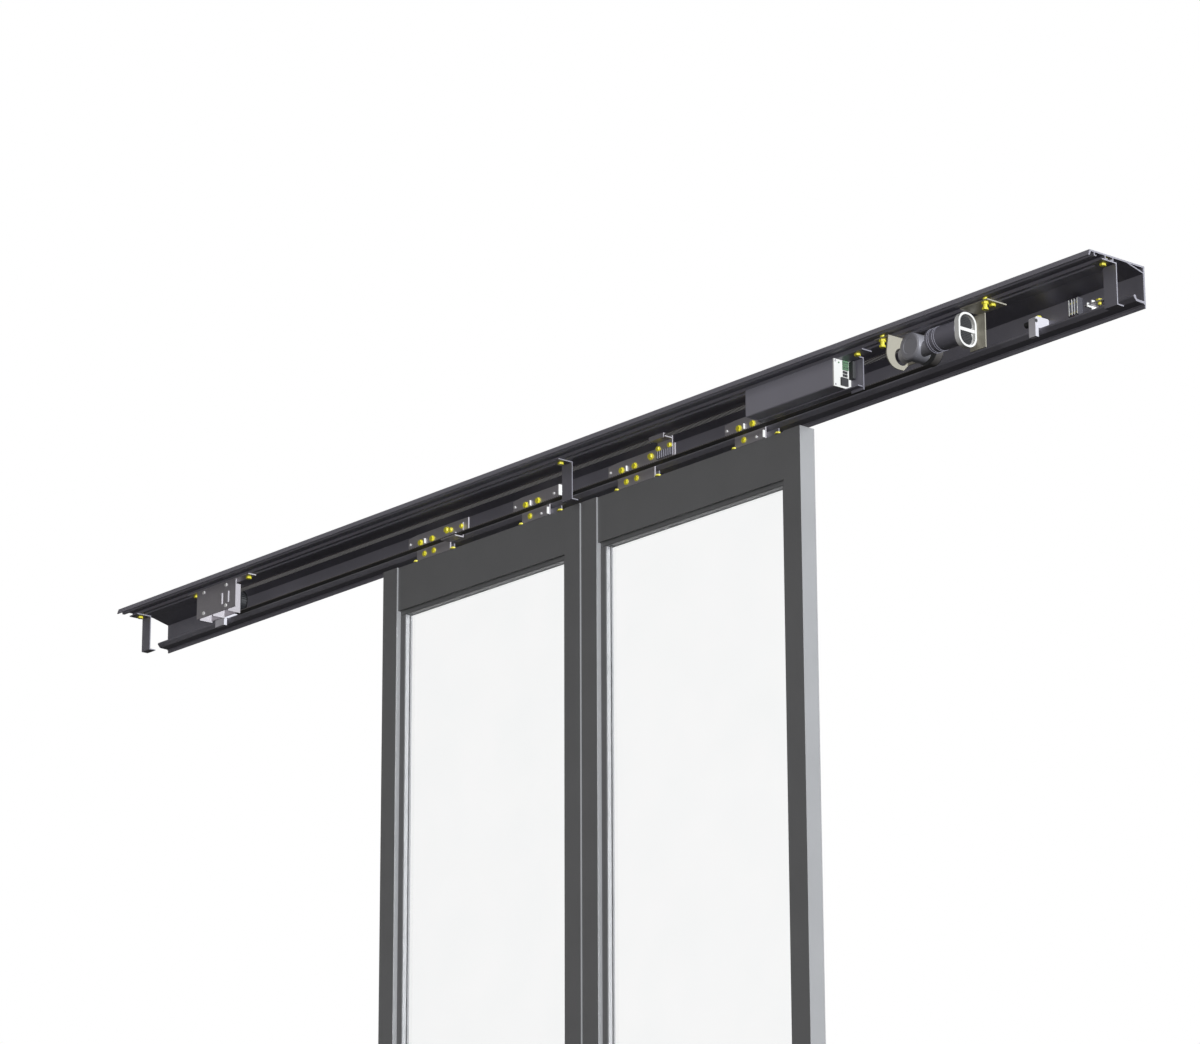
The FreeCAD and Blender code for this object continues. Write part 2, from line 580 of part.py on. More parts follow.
def control_unit():
    """The controller: an open extruded housing with end panel, sockets and four service keys."""
    left = drive_x - s.control_from_drive
    low = s.control_low_z
    top = low + s.control_height
    back = s.control_out
    front = back + s.control_depth
    wall = s.control_wall
    corner = 4
    shell = [(back, low), (front - corner, low, corner, -1), (front, low + corner), (front, top - corner, corner, -1),
             (front - corner, top), (back, top)]
    inside = [(back + wall, low + wall), (front - wall, low + wall), (front - wall, top - wall),
              (back + wall, top - wall)]
    housing = section("control_housing", shell, left, s.control_length, [inside])
    place(housing)
    keep(housing, "control_housing")
    end = left + s.control_length
    key_x = end + s.clearance
    panel = box("control_panel_blank", end, back, low, s.panel_thick, s.control_depth, s.control_height)
    recesses = []
    for index in range(4):
        key_out = back + 13 + (index % 2) * s.key_pitch
        key_z = low + 29 + (index // 2) * s.key_pitch
        slack = s.clearance
        recesses.append(box(f"key_hole_{index + 1}", end - 1, key_out - slack, key_z - slack, s.panel_thick + 2,
                            s.key_size + slack * 2, s.key_size + slack * 2))
        key = box(f"service_key_{index + 1}", key_x + s.key_travel, key_out, key_z,
                  s.panel_thick - s.key_travel - s.clearance + s.key_rise, s.key_size, s.key_size)
        keep(key, f"service_key_{index + 1}")
    keep(cut("control_end_panel", panel, recesses), "control_end_panel")
    board_x = end - 60
    keep(box("control_board", board_x, back + 9, low + wall, 60 - s.key_travel, 20, 44 - wall), "control_board")
    greens = [box(f"green_connector_{index + 1}", end + s.panel_thick, back + 11, low + 45 + index * 12, 4, 17, 11)
              for index in range(2)]
    group("green_connectors", greens)
    keep(box("black_connector", end + s.panel_thick, back + 13, low + 5, 5, 22, 20), "black_connector")
    thick = s.control_sheet
    tab_z = s.header_height - s.web_drop - thick
    arm_x = end + s.panel_thick + s.control_arm_gap
    arm = box("control_arm", arm_x, back, low - s.control_arm_drop, s.control_arm_length, thick,
              tab_z + thick - low + s.control_arm_drop)
    neck = box("control_neck", arm_x, back, tab_z, s.control_arm_length, s.control_tab_deep, thick)
    tab = box("control_tab", arm_x, back + s.control_foot_deep, tab_z, s.control_tab_length,
              s.control_tab_deep, thick)
    foot = box("control_foot", left, back, low - thick, s.control_length + s.panel_thick + s.control_arm_length,
               s.control_foot_deep, thick)
    hole = channel_bolt("control_bolt", end + s.panel_thick + s.control_bolt_from_end, thick)
    keep(cut("control_bracket", fused("control_folded", [arm, neck, tab, foot]), [hole]), "control_bracket")


def end_stops():
    """Rail stops at both ends, with rubber buffers and lock nuts."""
    stops = []
    buffers = []
    back = s.wall_thick
    saddle_z = s.bead_z + s.bead_radius + s.clearance
    places = ((left_end + s.stop_from_left, 1), (right_end - s.stop_from_right, -1))
    for index, (start, side) in enumerate(places, start=1):
        wide = s.stop_width * 2 if side > 0 else s.stop_width
        block = section(f"stop_block_{index}", [
            (back, saddle_z), (s.stop_front, saddle_z), (s.stop_front, s.stop_top - 8, 8, -1),
            (s.stop_front - 8, s.stop_top), (back + 3, s.stop_top), (back, s.stop_top - 3)], start, wide)
        place(block)
        claw = section(f"stop_claw_{index}", [
            (s.bead_out + s.bead_radius + 1, 4), (s.stop_front, 4), (s.stop_front, saddle_z),
            (s.bead_out + s.bead_radius + 1, saddle_z)], start, wide)
        place(claw)
        stops.append(fused(f"stop_{index}", [block, claw]))
        face = start + wide if side > 0 else start
        reach = s.left_buffer if side > 0 else s.right_buffer
        buffer_x = face if side > 0 else face - reach
        buffers.append(rod(f"buffer_{index}", "along", buffer_x, 38, 42, 7, reach))
        header_bolts.append(hexagon(f"stop_nut_{index}", "up", start + wide / 2, 28, s.stop_top, s.m8_flats,
                                    s.m8_head))
    group("end_stops", stops)
    group("stop_buffers", buffers)


def wall_fittings():
    """Mains terminal block and earth bracket on the back wall, at the right-hand end."""
    terminal = right_end - s.terminal_from_end
    earth = right_end - s.earth_from_end
    earth_bolt = earth + 40
    body = box("terminal_body", terminal, s.wall_thick, 34, 30, 16, 42)
    slots = [box(f"terminal_slot_{index + 1}", terminal + 3 + index * 9, s.wall_thick + 11, 38, 6, 6, 34)
             for index in range(3)]
    keep(cut("terminal_block", body, slots), "terminal_block")
    bracket = section("earth_section", [
        (s.wall_thick, 28), (s.wall_thick + 3, 28), (s.wall_thick + 3, 35), (s.wall_thick + 40, 35),
        (s.wall_thick + 40, 38), (s.wall_thick, 38)], earth, 70)
    place(bracket)
    hole = rod("earth_hole", "up", earth_bolt, 36, 34, s.m8_radius + s.bolt_slack, 5)
    keep(cut("earth_bracket", bracket, [hole]), "earth_bracket")
    header_bolts.append(bolt("earth_bolt", "up", earth_bolt, 36, 38, 8))


def leaf(side, name):
    """One framed glass leaf with its carriages; side is -1 for the left leaf and 1 for the right leaf."""
    inner_edge = s.doorway_shift + s.meeting_gap / 2 * side
    left = inner_edge - s.leaf_width if side < 0 else inner_edge
    right = left + s.leaf_width
    base_z = s.leaf_top_z - s.leaf_height
    back = s.leaf_out
    front = back + s.leaf_thick
    wall = s.frame_wall
    wide = s.stile_width
    glass_mid = s.glass_out
    groove_mid = back + s.leaf_thick / 2
    pane_slack = s.glass_thick / 2 + s.clearance

    def stile(label, start, glass_side):
        """A hollow stile with its glazing groove on the glass side."""
        near = start + wide if glass_side > 0 else start
        deep = s.glass_bite + 1
        a = near
        b = near - deep * glass_side
        c = near - wide * glass_side
        d = b - wall * glass_side
        e = c + wall * glass_side
        outline = [(c, -front), (a, -front), (a, -(glass_mid + pane_slack)), (b, -(glass_mid + pane_slack)),
                   (b, -(glass_mid - pane_slack)), (a, -(glass_mid - pane_slack)), (a, -back), (c, -back)]
        hollow = [(e, -(front - wall)), (d, -(front - wall)), (d, -(back + wall)), (e, -(back + wall))]
        body = padded(f"{name}_{label}", "XY_Plane", outline, base_z + s.bottom_rail,
                      s.leaf_height - s.bottom_rail, (), [hollow])
        place(body)
        keep(body, f"{name}_{label}")

    outer_start = left if side < 0 else right - wide
    meeting_start = right - wide if side < 0 else left
    stile("outer_stile", outer_start, -side)
    stile("meeting_stile", meeting_start, side)

    rail_front = front - s.rail_inset
    rail_back = back + s.rail_inset
    rail_start = left + wide
    rail_length = s.leaf_width - wide * 2
    deep = s.glass_bite + 1

    def rail(label, near, far, direction, extra, ends, faces):
        """A hollow rail; its glazing groove faces the pane."""
        rail_back, rail_front = faces
        b = near + deep * direction
        d = b + wall * direction
        e = far - wall * direction
        outline = [(rail_back, far)] + extra + [
            (rail_front, far), (rail_front, near), (glass_mid + pane_slack, near), (glass_mid + pane_slack, b),
            (glass_mid - pane_slack, b), (glass_mid - pane_slack, near), (rail_back, near)]
        if extra:
            e = far - (s.groove_depth + wall) * direction
        hollow = [(rail_back + wall, e), (rail_front - wall, e), (rail_front - wall, d), (rail_back + wall, d)]
        body = section(f"{name}_{label}", outline, *ends, [hollow])
        place(body)
        keep(body, f"{name}_{label}")

    top_near = s.leaf_top_z - s.top_rail
    low_near = base_z + s.bottom_rail
    rail("top_rail", top_near, s.leaf_top_z, 1, [], (rail_start, rail_length), (rail_back, rail_front))
    half_groove = s.groove_width / 2
    groove = [(groove_mid - half_groove, base_z), (groove_mid - half_groove, base_z + s.groove_depth),
              (groove_mid + half_groove, base_z + s.groove_depth), (groove_mid + half_groove, base_z)]
    rail("bottom_rail", low_near, base_z, -1, groove, (left, s.leaf_width), (back, front))
    bite = s.glass_bite
    pane = box(f"{name}_glass_pane", left + wide - bite, glass_mid - s.glass_thick / 2, low_near - bite,
               rail_length + bite * 2, s.glass_thick, top_near - low_near + bite * 2)
    keep(pane, f"{name}_glass_pane")

    strips = []
    pane_front = glass_mid + pane_slack
    pane_back = glass_mid - pane_slack
    chamfer = s.bead_chamfer
    for face, start, end in (("front", pane_front, s.bead_front), ("back", pane_back, rail_back)):
        edge = end - chamfer * (1 if face == "front" else -1)
        for label, near, turn in (("top", top_near, -1), ("bottom", low_near, 1)):
            far = near + s.level_bead * turn
            strip = section(f"{name}_{face}_{label}_bead", [
                (start, near), (end, near), (end, far - chamfer * turn), (edge, far), (start, far)],
                rail_start, rail_length)
            place(strip)
            strips.append(strip)
        for label, near, turn in (("left", rail_start, 1), ("right", rail_start + rail_length, -1)):
            far = near + s.side_bead * turn
            strip = padded(f"{name}_{face}_{label}_bead", "XY_Plane", [
                (near, -start), (near, -end), (far - chamfer * turn, -end), (far, -edge), (far, -start)],
                low_near + s.level_bead, top_near - low_near - s.level_bead * 2)
            place(strip)
            strips.append(strip)
    group(f"{name}_glazing_beads", strips)
    seal_x = right if side < 0 else left - s.seal_thick
    keep(box(f"{name}_meeting_seal", seal_x, groove_mid - s.seal_width / 2, base_z, s.seal_thick, s.seal_width,
             s.leaf_height), f"{name}_meeting_seal")
    carriages(name, left + s.first_carriage, right - s.second_carriage)


def carriages(name, first, second):
    """Both carriages of a leaf: plates, axle bolts, hanger angles and hanger bolts; the rollers stay apart."""
    plates = []
    bolts = []
    angles = []
    axle_z = s.bead_z + s.bead_radius + s.roller_radius + s.clearance
    for index, at in enumerate((first, second), start=1):
        long_one = index == 1
        tongue = s.long_tongue if long_one else s.short_tongue
        reach = s.plate_length + (50 if long_one else 0)
        tongue_at = at + s.tongue_start
        holes = [(at + s.axle_first, axle_z, s.axle_radius + s.running_fit),
                 (at + s.axle_first + s.axle_pitch, axle_z, s.axle_radius + s.running_fit)]
        plate = padded(f"{name}_plate_{index}", "XZ_Plane", [
            (at, s.plate_low_z), (tongue_at, s.plate_low_z), (tongue_at, s.tongue_low_z),
            (tongue_at + tongue, s.tongue_low_z), (tongue_at + tongue, s.plate_low_z), (at + reach, s.plate_low_z),
            (at + reach, s.plate_top_z), (at + s.plate_corner, s.plate_top_z), (at, s.plate_top_z - 4)],
            s.plate_out, s.plate_thick, holes)
        place(plate)
        plates.append(plate)
        front = s.plate_out + s.plate_thick
        for number, offset in enumerate((s.axle_first, s.axle_first + s.axle_pitch), start=1):
            label = f"{name}_axle_{index}_{number}"
            shank_start = s.bead_out - s.roller_width / 2 - 1
            head = hexagon(label + "_head", "out", at + offset, front, axle_z, s.m8_flats, s.m8_head)
            shank = rod(label + "_shank", "out", at + offset, shank_start, axle_z, s.axle_radius,
                        front - shank_start)
            ring = rod(label + "_ring", "out", at + offset, shank_start - 1.5, axle_z, s.axle_radius + 2.5,
                       1.5 + 1 - s.clearance)
            bolts.append(fused(label, [head, shank, ring]))
            roller(name, (index - 1) * 2 + number, at + offset, axle_z)
        foot_z = s.leaf_top_z
        angle = section(f"{name}_angle_{index}", [
            (s.foot_back, foot_z), (s.plate_out, foot_z), (s.plate_out, s.arm_z - 3),
            (s.plate_out - s.foot_thick, s.arm_z - 3), (s.plate_out - s.foot_thick, foot_z + s.foot_thick),
            (s.foot_back, foot_z + s.foot_thick)], tongue_at, s.foot_length)
        place(angle)
        angles.append(angle)
        pan_z = foot_z + s.foot_thick
        bolts.append(rod(f"{name}_hanger_{index}", "up", tongue_at + s.hanger_bolt_at, s.hanger_bolt_out, pan_z,
                           s.pan_radius, s.pan_height))
        for number, offset in enumerate((33, 73) if long_one else (33,), start=1):
            bolts.append(hexagon(f"{name}_tongue_bolt_{index}_{number}", "out", tongue_at + offset, front, 5.5,
                                 s.m8_flats * 0.77, s.m8_head * 0.75))
    group(f"{name}_carriage_plates", plates)
    group(f"{name}_carriage_bolts", bolts)
    group(f"{name}_hanger_angles", angles)


def roller(name, number, x, z):
    """A grooved nylon roller that runs on the rail's rounded nose."""
    half = s.roller_width / 2
    rim = s.roller_radius + s.groove_rise
    bore = s.axle_radius + s.running_fit
    profile = [(-half, bore), (-half, rim), (-s.groove_mouth, rim), (-s.groove_floor, s.roller_radius),
               (s.groove_floor, s.roller_radius), (s.groove_mouth, rim), (half, rim), (half, bore)]
    body = revolved(f"{name}_roller_{number}", profile)
    place(body, x, s.bead_out, z)
    keep(body, f"{name}_roller_{number}")


def belt_clamps():
    """The left leaf holds the lower belt run and the right leaf the upper one, each through a folded clamp."""
    plate_front = s.plate_out + s.plate_thick
    belt_front = s.belt_back + s.belt_width
    low_run = s.pulley_z - s.pitch_radius - s.belt_thick / 2
    high_run = s.pulley_z + s.pitch_radius + s.belt_thick / 2
    gap = s.clearance
    start = doorway_left + s.first_carriage + s.clamp_reach + 11
    lower = section("left_leaf_clamp", [
        (plate_front, 54), (plate_front + 3, 54), (plate_front + 3, low_run + s.belt_thick + gap + 3),
        (belt_front, low_run + s.belt_thick + gap + 3), (belt_front, low_run + s.belt_thick + gap),
        (plate_front + 3, low_run + s.belt_thick + gap), (plate_front + 3, low_run - gap),
        (belt_front, low_run - gap), (belt_front, low_run - gap - 3), (plate_front, low_run - gap - 3)],
        start - 40, 60)
    place(lower)
    keep(lower, "left_leaf_belt_clamp")
    upper_start = s.doorway_shift + s.meeting_gap / 2 + s.first_carriage + 194
    upper = section("right_leaf_clamp", [
        (plate_front, 33), (plate_front + 3, 33), (plate_front + 3, high_run - s.belt_thick - gap - 3),
        (belt_front - 3, high_run - s.belt_thick - gap - 3), (belt_front - 3, high_run - s.belt_thick - gap),
        (plate_front + 3, high_run - s.belt_thick - gap), (plate_front + 3, high_run + gap),
        (belt_front + gap, high_run + gap), (belt_front + gap, 73), (belt_front + gap + 2.5, 73),
        (belt_front + gap + 2.5, high_run + gap + 2), (plate_front, high_run + gap + 2)], upper_start, 55)
    place(upper)
    keep(upper, "right_leaf_belt_clamp")


def floor_guides():
    """A guide under the outer end of each leaf, its blade in the bottom rail's groove."""
    floor = s.leaf_top_z - s.leaf_height - s.floor_gap
    base_thick = s.floor_gap - 2
    glass_mid = s.leaf_out + s.leaf_thick / 2
    guides = []
    for side in (-1, 1):
        edge = doorway_left if side < 0 else doorway_right
        centre = edge - (s.guide_length / 2 + s.guide_inset) * side
        foot = padded(f"guide_foot_{side + 2}", "XY_Plane", [
            (centre - s.guide_length / 2, -(glass_mid + s.guide_base / 2)),
            (centre + s.guide_length / 2, -(glass_mid + s.guide_base / 2)),
            (centre + s.guide_length / 2, -(glass_mid - s.guide_base / 2)),
            (centre - s.guide_length / 2, -(glass_mid - s.guide_base / 2))], floor, base_thick,
            [(centre, -(glass_mid + s.guide_screw_pitch / 2), 3.3), (centre, -(glass_mid - s.guide_screw_pitch / 2), 3.3)])
        place(foot)
        blade_thick = s.groove_width - s.clearance * 4
        blade = box(f"guide_blade_{side + 2}", centre - s.guide_length / 2, glass_mid - blade_thick / 2,
                    floor + base_thick, s.guide_length, blade_thick, s.groove_depth - 2)
        guides.append(fused(f"guide_{side + 2}", [foot, blade]))
    group("floor_guides", guides)


def check_document():
    """Stop on any object that failed to build."""
    for item in doc.Objects:
        if "Invalid" in item.State or "Error" in item.State:
            raise RuntimeError(f"{item.Name} failed: {item.State}")
    for item in nodes:
        if item.Shape.isNull() or not item.Shape.isValid():
            raise RuntimeError(f"{item.Label} has no valid shape")


header_profile()
cover_brackets()
idler_unit()
toothed_belt()
drive_unit()
control_unit()
end_stops()
wall_fittings()
leaf(-1, "left_leaf")
leaf(1, "right_leaf")
belt_clamps()
floor_guides()
group("header_bolts", header_bolts)
doc.recompute()
check_document()
os.makedirs("parts", exist_ok=True)
for node in nodes:
    node.Shape.exportStep(f"parts/{node.Label}.step")
print(len(nodes), "parts written")
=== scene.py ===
import json
import math
from collections import namedtuple
import bpy
from mathutils import Matrix, Vector


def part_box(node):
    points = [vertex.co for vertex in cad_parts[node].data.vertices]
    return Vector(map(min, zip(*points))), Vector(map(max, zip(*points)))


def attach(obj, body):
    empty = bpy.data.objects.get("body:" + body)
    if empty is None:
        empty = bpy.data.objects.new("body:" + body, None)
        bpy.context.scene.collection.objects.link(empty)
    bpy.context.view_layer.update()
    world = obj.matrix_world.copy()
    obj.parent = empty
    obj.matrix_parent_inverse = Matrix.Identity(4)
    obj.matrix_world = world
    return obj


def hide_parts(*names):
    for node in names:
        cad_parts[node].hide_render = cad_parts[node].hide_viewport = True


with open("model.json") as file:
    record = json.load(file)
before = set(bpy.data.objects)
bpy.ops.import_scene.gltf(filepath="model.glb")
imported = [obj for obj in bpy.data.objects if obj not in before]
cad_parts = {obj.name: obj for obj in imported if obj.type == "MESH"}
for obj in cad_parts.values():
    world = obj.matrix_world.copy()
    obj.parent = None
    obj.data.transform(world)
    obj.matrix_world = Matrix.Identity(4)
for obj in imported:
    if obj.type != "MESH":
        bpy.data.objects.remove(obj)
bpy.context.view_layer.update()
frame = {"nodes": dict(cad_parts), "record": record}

# Camera: found from the picture's straight edges, in metres and degrees, for a picture 1200 pixels wide.
PICTURE_WIDTH = 1200
FOCAL_PIXELS = 4371.9
SENSOR = 36.0
EYE = Vector((8.15682, -6.90771, -3.35487))
AZIMUTH = math.radians(49.695)
ELEVATION = math.radians(-16.925)
ROLL = math.radians(0.227)
FARTHEST = 100

MM = 0.001
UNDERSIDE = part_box("header_profile")[0][2]
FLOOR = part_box("floor_guides")[0][2]
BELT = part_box("toothed_belt")
Extent = namedtuple("Extent", "left right back front low high")


def spot(x, out, z):
    """A place in millimetres along the header, out from the wall and up from the header's underside."""
    return (x * MM, -out * MM, UNDERSIDE + z * MM)


def measure(box):
    """A box in metres as an extent in the millimetres that spot() takes."""
    near, far = box
    return Extent(near[0] / MM, far[0] / MM, -far[1] / MM, -near[1] / MM,
                  (near[2] - UNDERSIDE) / MM, (far[2] - UNDERSIDE) / MM)


ROLLER = measure(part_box("left_leaf_roller_1"))
AXLE_Z = (ROLLER.low + ROLLER.high) / 2
PLATE_FACE = measure(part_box("left_leaf_carriage_plates")).front

# Belt, in millimetres, the sides of its loop's circle, and a hair's breadth in metres against rounding.
BELT_PITCH = 8
BELT_BACK = 1.5
TOOTH_DEPTH = 1.6
LOOP_SIDES = 48
HAIR = 1e-6

# Carriages, in millimetres from a carriage's left end and up from the header's underside.
CARRIAGE_PITCH = 443
PLATE_WASHER = 1.8
AXLES = (52, 102)
TONGUE_BOLTS = {1: (69, 109), 2: (69,)}
TONGUE_BOLT_Z = 5.5
THIRD_BOLT = (165, 48.5)
# Bolts down into the leaf's top: place along, size across flats.
LEAF_BOLTS = ((40, 9), (199, 12))
LEAF_BOLT_REACH = 6.5
# Clamp bolts of each leaf: places along, height of the belt's run.
CLAMP_BOLTS = {"left_leaf": ((186, 232), 43.5), "right_leaf": ((197, 240), 60)}
CLAMP_THICK = 3
# Screws: name, place along, height. Only the second carriages have the last two.
PLATE_SCREWS = (("screw", 8, 43.5), ("end_screw", 166, 44), ("tongue_screw", 115, 2))
# Blocks: name, left, right, low, high, reach, bevel. Only the second carriages have the last two.
PLATE_TABS = (("lug", 71, 74, 33, 47, 5, 0.6), ("end_block", 201, 205, 28, 57, 16, 0.8),
              ("tongue_tab", 143, 147, -7, 12, 7, 0.8))

# Heads: washer and hexagon radii as shares of the size across flats, washer thickness in millimetres.
WASHER_SHARE = 0.72
HEXAGON_SHARE = 0.577
WASHER_THICK = 1.6
DOME_SHARE = 0.35

# Motor, in millimetres from its left end, and the grilles in its end frame.
MOTOR_RIBS = (6, 12, 24, 30)
RIB_RISE = 1.1
GRILLE_RISE = 15.5
GRILLE_RADIUS = 21.5
SLAT_RADIUS = 20.5
SLAT_PITCH = 4
SLATS = 9

# Idler rivets, terminal block and connectors, in millimetres.
RIVET_RADIUS = 2.4
RIVET_HEAD = (5.2, 2.2)
TERMINAL_FIRST = 6
TERMINAL_PITCH = 9
TERMINAL_RIBS = (2, 11, 19, 28)
SOCKET_PITCH = 12
HOLE_PITCH = 5.3

# Turns that lay a cylinder out from the wall, upright or along the header, and the matching steps of spot().
WAYS = {"out": (math.radians(90), 0, 0), "up": (0, 0, 0), "along": (0, math.radians(90), 0)}
STEPS = {"out": (0, 1, 0), "up": (0, 0, 1), "along": (1, 0, 0)}

# Grain of a finish: draw lines along the header or down a stile, rolled sheet, or the same all ways.
DRAWN_ALONG = (0.02, 1, 1)
DRAWN_DOWN = (1, 1, 0.02)
ROLLED = (0.25, 1, 1)
EVEN = (1, 1, 1)
# Broad clouds of tone, the grain's share beside them, and the relief's depth in metres.
CLOUDS_PER_METRE = 6.0
GRAIN_SHARE = 0.5
RELIEF_DEPTH = 0.0002
# Sockets of the colour mix node.
MIX_FROM, MIX_TO, MIX_RESULT = 6, 7, 2

DAYLIGHT = (0.94, 0.97, 1.0)
PLAIN_LIGHT = (1, 1, 1)
WHITE = (1, 1, 1, 1)
AMBIENT = 0.06
FLOOR_SIZE = 30
# Suns: name, direction towards it, strength, angle in degrees, colour and whether it casts shadows.
LAMPS = (
    ("rear_side_lamp", (0.8, 0.6, 0.3), 2.1, 40, DAYLIGHT, False),
    ("side_lamp", (1.0, -0.03, 0.1), 3.0, 15, DAYLIGHT, False),
    ("front_side_lamp", (0.0, -1.0, 0.25), 0.75, 25, PLAIN_LIGHT, False),
    ("front_lamp", (0.0, -1.0, 0.3), 0.4, 30, PLAIN_LIGHT, True),
    ("left_lamp", (-1.0, 0.1, 0.0), 1.5, 40, PLAIN_LIGHT, True),
    ("top_lamp", (0.0, 0.0, 1.0), 2.0, 40, PLAIN_LIGHT, True),
)


def look():
    """The camera at the picture's viewing angle."""
    back = Vector((math.sin(AZIMUTH) * math.cos(ELEVATION), -math.cos(AZIMUTH) * math.cos(ELEVATION),
                   math.sin(ELEVATION)))
    forward = -back
    right = forward.cross(Vector((0, 0, 1))).normalized()
    down = forward.cross(right)
    across = right * math.cos(ROLL) + down * math.sin(ROLL)
    up = right * math.sin(ROLL) - down * math.cos(ROLL)
    data = bpy.data.cameras.new("camera")
    data.sensor_width = SENSOR
    data.lens = FOCAL_PIXELS * SENSOR / PICTURE_WIDTH
    data.clip_end = FARTHEST
    camera = bpy.data.objects.new("camera", data)
    turn = Matrix((across, up, back)).transposed().to_4x4()
    camera.matrix_world = Matrix.Translation(EYE) @ turn
    bpy.context.scene.collection.objects.link(camera)
    bpy.context.scene.camera = camera


def linear(code):
    """An sRGB hex value as a linear colour."""
    parts = [int(code[at:at + 2], 16) / 255 for at in (1, 3, 5)]
    levels = [part / 12.92 if part <= 0.04045 else ((part + 0.055) / 1.055) ** 2.4 for part in parts]
    return (*levels, 1)


def add(tree, kind, settings=None, links=None):
    """Add one node with its settings and its incoming links."""
    node = tree.nodes.new(kind)
    for name, value in (settings or {}).items():
        if isinstance(name, int) or name in node.inputs:
            node.inputs[name].default_value = value
        else:
            setattr(node, name, value)
    for name, source in (links or {}).items():
        tree.links.new(source, node.inputs[name])
    return node


def surface(name, tone, shade, metallic, roughness, grain, stretch=EVEN, bump=0.1, spread=0.08, **extra):
    """A material whose tone, gloss and relief vary with a grain of a real size in millimetres."""
    material = bpy.data.materials.new(name)
    material.use_nodes = True
    tree = material.node_tree
    shader = tree.nodes["Principled BSDF"]
    place = add(tree, "ShaderNodeTexCoord")
    mapping = add(tree, "ShaderNodeMapping", {"Scale": stretch}, {"Vector": place.outputs["Object"]})
    noise = add(tree, "ShaderNodeTexNoise", {"Scale": 1 / (grain * MM), "Detail": 3.0, "Roughness": 0.6},
                {"Vector": mapping.outputs["Vector"]})
    cloud = add(tree, "ShaderNodeTexNoise", {"Scale": CLOUDS_PER_METRE, "Detail": 2.0},
                {"Vector": place.outputs["Object"]})
    blend = add(tree, "ShaderNodeMath", {"operation": "MULTIPLY_ADD", 1: GRAIN_SHARE},
                {0: noise.outputs["Fac"], 2: cloud.outputs["Fac"]})
    share = add(tree, "ShaderNodeMapRange", {"From Min": 0.45, "From Max": 1.05},
                {"Value": blend.outputs["Value"]})
    colour = add(tree, "ShaderNodeMix", {"data_type": "RGBA", MIX_FROM: linear(tone), MIX_TO: linear(shade)},
                 {0: share.outputs["Result"]})
    tree.links.new(colour.outputs[MIX_RESULT], shader.inputs["Base Color"])
    gloss = add(tree, "ShaderNodeMapRange", {"To Min": roughness - spread, "To Max": roughness + spread},
                {"Value": noise.outputs["Fac"]})
    tree.links.new(gloss.outputs["Result"], shader.inputs["Roughness"])
    relief = add(tree, "ShaderNodeBump", {"Strength": bump, "Distance": RELIEF_DEPTH},
                 {"Height": noise.outputs["Fac"]})
    tree.links.new(relief.outputs["Normal"], shader.inputs["Normal"])
    shader.inputs["Metallic"].default_value = metallic
    for socket, value in extra.items():
        shader.inputs[socket.replace("_", " ")].default_value = value
    return material


# Extruded aluminium, dark anodised: a satin grey with a violet cast and fine draw lines along the header.
anodised_header = surface("dark_anodised_header", "#7b7981", "#74727a", 0.35, 0.46, 0.5, DRAWN_ALONG, 0.03)
# The leaves' own batch of the finish, neutral, with its draw lines along the rails.
anodised_rail = surface("dark_anodised_rails", "#7a7a7b", "#747475", 0.35, 0.46, 0.5, DRAWN_ALONG, 0.03)
# The same on the upright stiles, its draw lines running down.
anodised_stile = surface("dark_anodised_stiles", "#7a7a7b", "#747475", 0.35, 0.46, 0.5, DRAWN_DOWN, 0.03)
# The snap-in glazing beads: the same anodising, plain and even.
anodised_bead = surface("dark_anodised_beads", "#7a7a7b", "#757576", 0.35, 0.42, 40.0, EVEN, 0.0, 0.03)
# Zinc-plated sheet steel: mid grey with a violet cast, slightly cloudy, rolled.
zinc = surface("zinc_plated_steel", "#b4b0b4", "#a5a1a5", 0.7, 0.42, 2.5, ROLLED, 0.08)
# Yellow-passivated zinc on the bolts: a clear yellow with a greenish cast.
yellow = surface("yellow_passivated_zinc", "#ece23e", "#d4c933", 0.0, 0.34, 3.0, EVEN, 0.05)
# Cream chromated steel of the drive's brackets: pale, with a warm cast.
cream = surface("cream_chromated_steel", "#a19c8e", "#949082", 0.3, 0.42, 2.5, ROLLED, 0.06)
# Die-cast aluminium, shot-blasted: grey with a fine even grit.
cast = surface("blasted_die_cast_aluminium", "#8f8e94", "#838288", 0.3, 0.5, 0.8, EVEN, 0.25)
# Zinc die casting of the end stops: pale, with a violet cast and a fine grit.
pale_cast = surface("pale_zinc_die_casting", "#c2c0c6", "#b9b7bd", 0.1, 0.46, 0.8, EVEN, 0.15)
# Baked enamel on the motor's drawn can and the controller's bracket: smooth violet grey.
enamel = surface("grey_baked_enamel", "#7c7a84", "#74727c", 0.1, 0.38, 2.0, EVEN, 0.06)
# Powder coat on small castings and the motor's end frame: off-white with a slight orange peel.
powder = surface("white_powder_coat", "#dedddb", "#d5d4d1", 0.0, 0.45, 1.6, EVEN, 0.18)
# Polyurethane belt with fabric-faced teeth: matt brownish charcoal.
belt_rubber = surface("charcoal_belt_rubber", "#4c4846", "#423f3d", 0.0, 0.68, 1.0, EVEN, 0.3)
# Soft rubber of seals and buffers: black and matt.
seal_rubber = surface("black_seal_rubber", "#232324", "#1b1b1c", 0.0, 0.72, 1.4, EVEN, 0.3)
# Moulded ABS of the controller's housing: violet grey with a fine spark-eroded texture.
grey_abs = surface("grey_moulded_abs", "#8e8c96", "#86848d", 0.0, 0.5, 0.9, EVEN, 0.22)
# Moulded ABS of the end panel: white with a finer texture.
white_abs = surface("white_moulded_abs", "#d4d3d0", "#cbcac6", 0.0, 0.46, 0.9, EVEN, 0.16)
